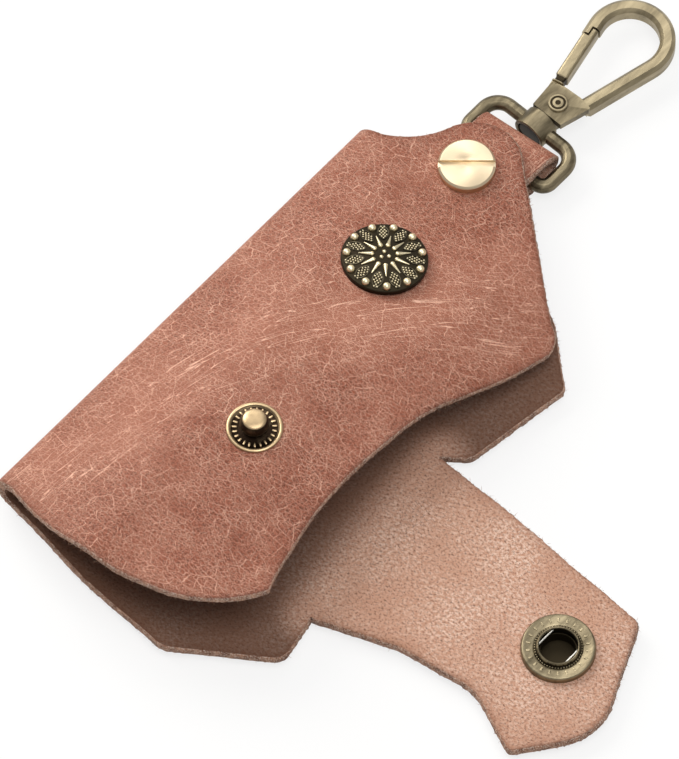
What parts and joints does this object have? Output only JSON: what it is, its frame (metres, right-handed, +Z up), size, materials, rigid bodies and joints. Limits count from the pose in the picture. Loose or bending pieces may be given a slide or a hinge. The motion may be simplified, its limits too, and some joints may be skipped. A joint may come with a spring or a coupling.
{
  "type": "leather key case",
  "caption": "Folded leather case for a car key, with a snap flap, a rosette button, a clamp screw and a spring-gate swivel hook on a leather hanger.",
  "frame": {"origin": "centre of the clamp screw's flat foot, on the surface that the case rests on", "axes": "+Y along the spine towards the hook, +X from the spine towards the flap, +Z up out of the front"},
  "size_m": [0.1117, 0.1551, 0.0196],
  "materials": {
    "leather": "waxed pull-up leather with a suede flesh side",
    "polished_brass": "turned and polished",
    "antique_brass": "darkened in the recesses, rubbed bright on the edges",
    "spring_steel": "dark wire"
  },
  "bodies": {
    "case": {"leather_wrap": "leather", "hanger_strap": "leather", "screw_post": "polished_brass", "clamp_screw": "polished_brass", "concho_button": "antique_brass", "concho_rivet": "antique_brass", "stud_backer": "antique_brass", "snap_stud": "antique_brass", "stud_eyelet": "antique_brass"},
    "flap_side": {"flap_gusset": "leather"},
    "flap_end": {"closure_flap": "leather", "snap_socket": "antique_brass", "socket_spring": "spring_steel", "snap_cap": "antique_brass"},
    "ring": {"swivel_ring": "antique_brass"},
    "hook": {"swivel_post": "antique_brass", "hook_body": "antique_brass", "gate_pin": "antique_brass", "gate_spring": "spring_steel"},
    "gate": {"hook_gate": "antique_brass"}
  },
  "joints": [
    {"name": "flap_fold", "type": "hinge", "parent": "case", "child": "flap_side", "pos_m": [0.0362, -0.06453, 0.0032], "axis": [0.1199, -0.9928, 0], "range_deg": [0, 100]},
    {"name": "flap_close", "type": "hinge", "parent": "flap_side", "child": "flap_end", "pos_m": [0.05193, -0.06264, 0.0032], "axis": [0.1199, -0.9928, 0], "range_deg": [0, 80]},
    {"name": "ring_swing", "type": "hinge", "parent": "case", "child": "ring", "pos_m": [0.0016, 0.0082, 0.0035], "axis": [1, 0, 0], "range_deg": [-75, 70]},
    {"name": "hook_swivel", "type": "hinge", "parent": "ring", "child": "hook", "pos_m": [0.0016, 0.017, 0.0035], "axis": [0, 1, 0], "continuous": true},
    {"name": "gate_open", "type": "hinge", "parent": "hook", "child": "gate", "pos_m": [0.0021, 0.0222, 0.0035], "axis": [0, 0, -1], "range_deg": [0, 20], "stiffness_Nm_per_rad": 0.02, "springref_deg": -17.19}
  ],
  "couplings": [
    {"joint": "flap_close", "follows": "flap_fold", "ratio": 0.8}
  ]
}
